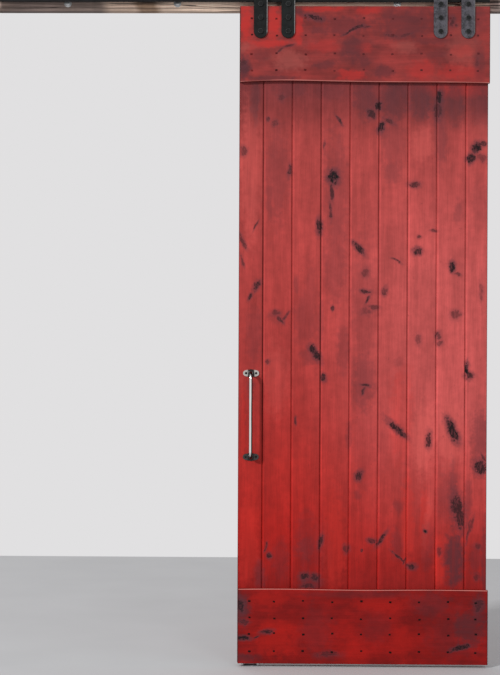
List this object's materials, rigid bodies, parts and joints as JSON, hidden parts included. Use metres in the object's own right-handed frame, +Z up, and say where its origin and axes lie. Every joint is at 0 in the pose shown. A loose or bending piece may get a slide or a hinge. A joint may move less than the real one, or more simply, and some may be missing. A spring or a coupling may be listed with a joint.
{
  "type": "sliding barn door",
  "caption": "Sliding plank barn door with end battens, bar handle and wheeled strap hangers, on a flat track with header board, end stops and floor guide.",
  "frame": {"origin": "centre of the header board's back face, at the height of the track's centre line", "axes": "+X to the right as seen from the room, +Y into the wall, +Z up; the door's front faces -Y"},
  "size_m": [2.134, 0.1753, 2.618],
  "materials": {
    "red_paint": "distressed red paint over knotty boards, glazed dark in the joints",
    "header_wood": "weathered and worn",
    "nail_iron": "dark cut nails",
    "zinc": "bright zinc plate",
    "black_steel": "satin black",
    "sleeve_nylon": "matt",
    "bearing_steel": "ground",
    "rubber": "matt",
    "guide_steel": "satin black",
    "polished_nickel": "polished, dulled in the recesses"
  },
  "bodies": {
    "header": {"header_board": "header_wood", "header_screws": "zinc", "header_washers": "zinc", "track_rail": "black_steel", "track_standoffs": "black_steel", "track_washers": "black_steel", "track_lag_bolts": "black_steel", "left_end_stop": "black_steel", "right_end_stop": "black_steel", "left_stop_bumper": "rubber", "right_stop_bumper": "rubber", "stop_grub_screws": "black_steel", "floor_guide": "guide_steel", "floor_guide_screws": "guide_steel"},
    "door": {"board_1": "red_paint", "board_2": "red_paint", "board_3": "red_paint", "board_4": "red_paint", "board_5": "red_paint", "board_6": "red_paint", "board_7": "red_paint", "board_8": "red_paint", "board_9": "red_paint", "top_batten": "red_paint", "bottom_batten": "red_paint", "top_batten_nails": "nail_iron", "bottom_batten_nails": "nail_iron", "left_hanger_strap": "black_steel", "right_hanger_strap": "black_steel", "left_hanger_bolts": "black_steel", "right_hanger_bolts": "black_steel", "left_hanger_washers": "black_steel", "right_hanger_washers": "black_steel", "left_hanger_nuts": "black_steel", "right_hanger_nuts": "black_steel", "left_anti_jump_pins": "black_steel", "right_anti_jump_pins": "black_steel", "left_axle_bolt": "black_steel", "right_axle_bolt": "black_steel", "left_axle_nut": "black_steel", "right_axle_nut": "black_steel", "left_anti_jump_sleeves": "sleeve_nylon", "right_anti_jump_sleeves": "sleeve_nylon", "left_axle_spacers": "bearing_steel", "right_axle_spacers": "bearing_steel", "left_bearing_inner_ring": "bearing_steel", "right_bearing_inner_ring": "bearing_steel", "handle_rod": "polished_nickel", "handle_upper_plate": "polished_nickel", "handle_lower_plate": "polished_nickel", "handle_screws": "polished_nickel"},
    "left_wheel": {"left_wheel": "black_steel", "left_bearing_outer_ring": "bearing_steel", "left_bearing_balls": "bearing_steel"},
    "right_wheel": {"right_wheel": "black_steel", "right_bearing_outer_ring": "bearing_steel", "right_bearing_balls": "bearing_steel"}
  },
  "joints": [
    {"name": "door_slide", "type": "slide", "parent": "header", "child": "door", "axis": [1, 0, 0], "range_m": [-0.82, 0]},
    {"name": "left_wheel_spin", "type": "hinge", "parent": "door", "child": "left_wheel", "pos_m": [0.156, -0.077, 0.0703], "axis": [0, 1, 0], "continuous": true},
    {"name": "right_wheel_spin", "type": "hinge", "parent": "door", "child": "right_wheel", "pos_m": [0.815, -0.077, 0.0703], "axis": [0, 1, 0], "continuous": true}
  ],
  "couplings": [
    {"joint": "left_wheel_spin", "follows": "door_slide", "rad_per_m": 22.222},
    {"joint": "right_wheel_spin", "follows": "door_slide", "rad_per_m": 22.222}
  ]
}
